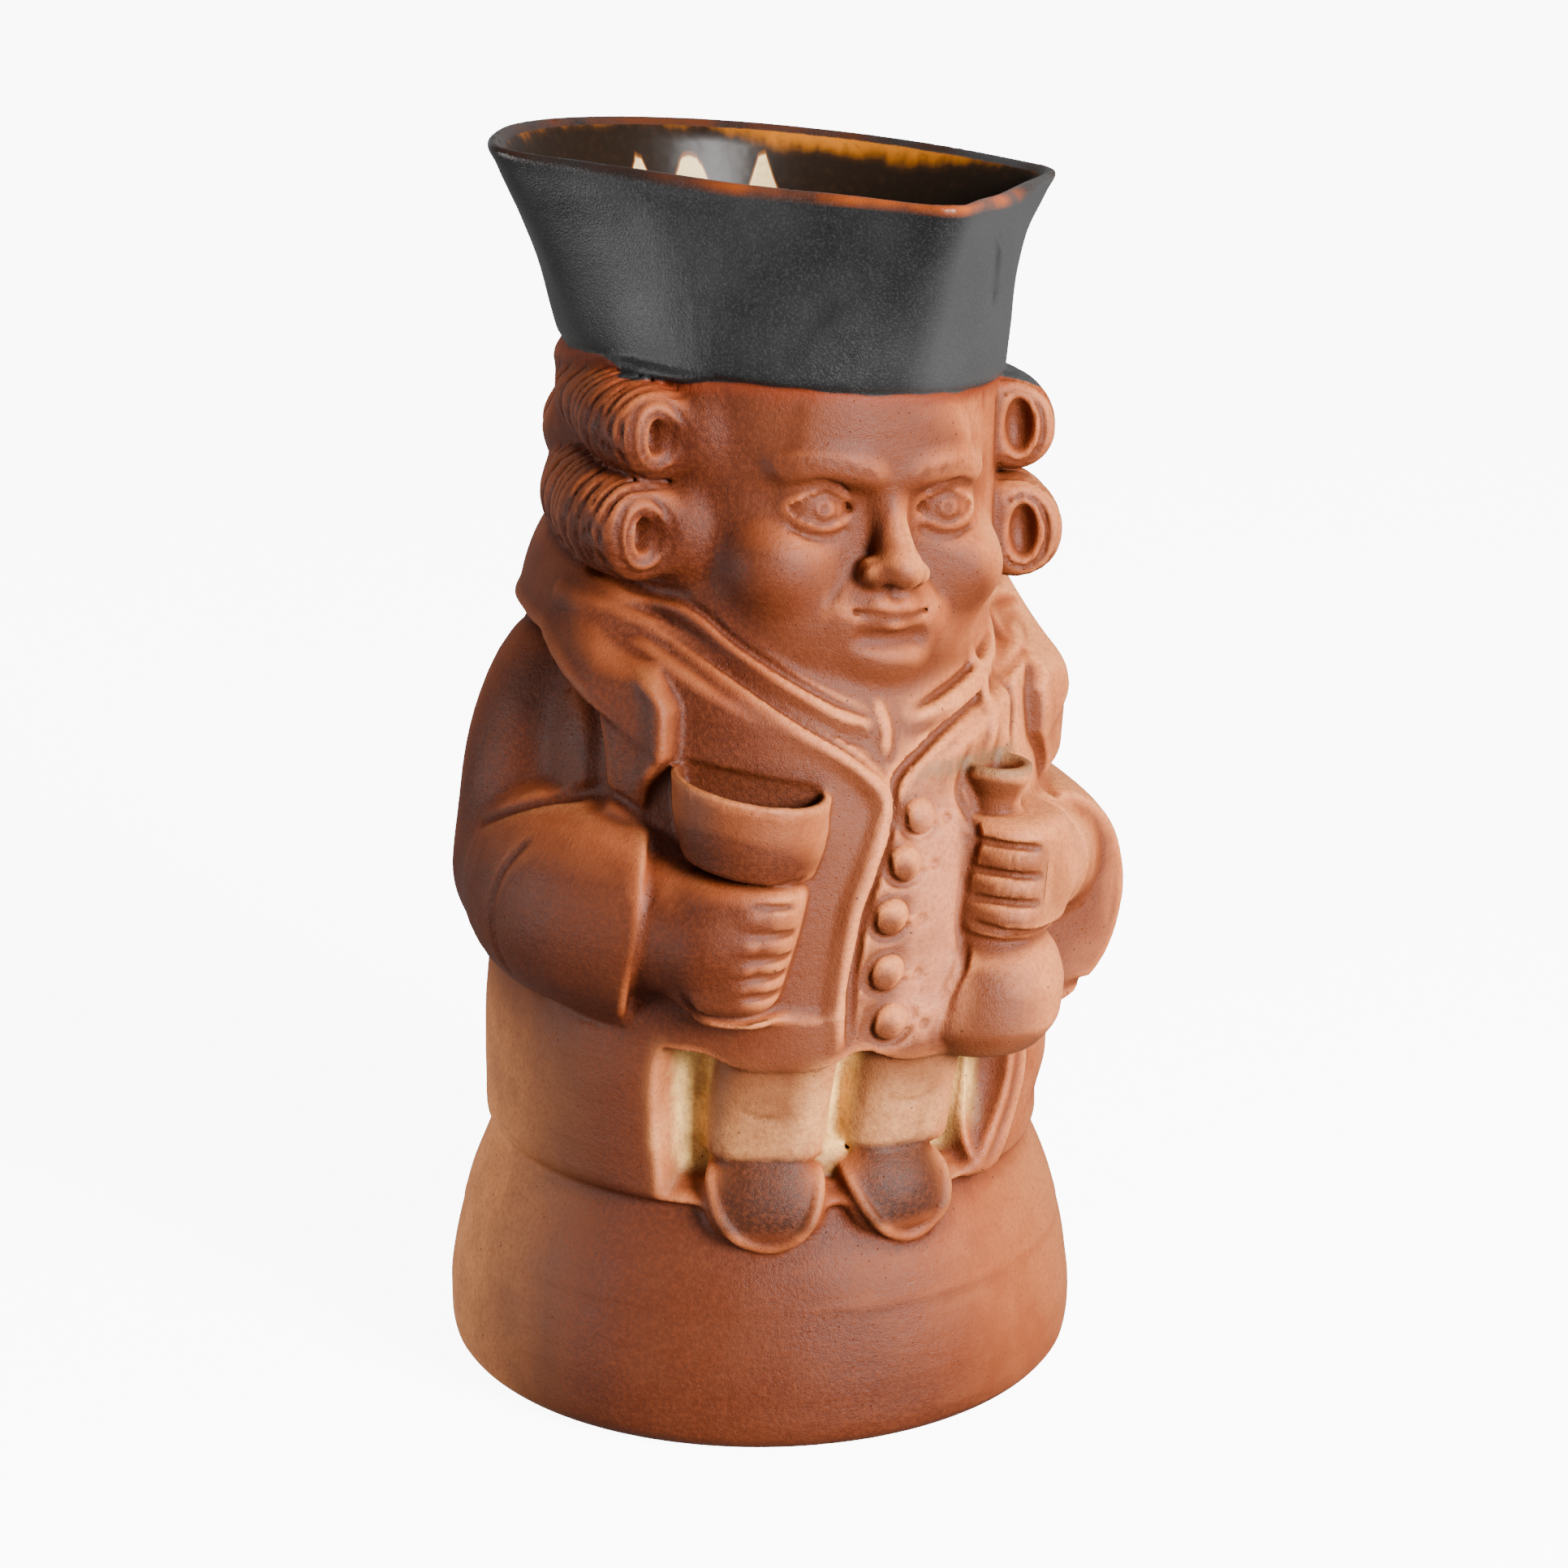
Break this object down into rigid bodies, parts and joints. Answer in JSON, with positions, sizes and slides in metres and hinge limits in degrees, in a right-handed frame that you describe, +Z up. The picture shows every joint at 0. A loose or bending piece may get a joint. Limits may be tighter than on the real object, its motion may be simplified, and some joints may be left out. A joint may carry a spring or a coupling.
{
  "type": "toby jug",
  "caption": "Hollow clay jug shaped as a standing figure with cup and bottle, a three-cornered hat forming the mouth and pouring lip, with a strap handle.",
  "frame": {"origin": "centre of the flat underside", "axes": "+Z up through the jug's mouth; the figure faces -Y; +X is on the figure's left"},
  "size_m": [0.0902, 0.1093, 0.1744],
  "materials": {
    "jug_body": null
  },
  "bodies": {
    "root": {"jug_body": "jug_body"}
  },
  "joints": []
}
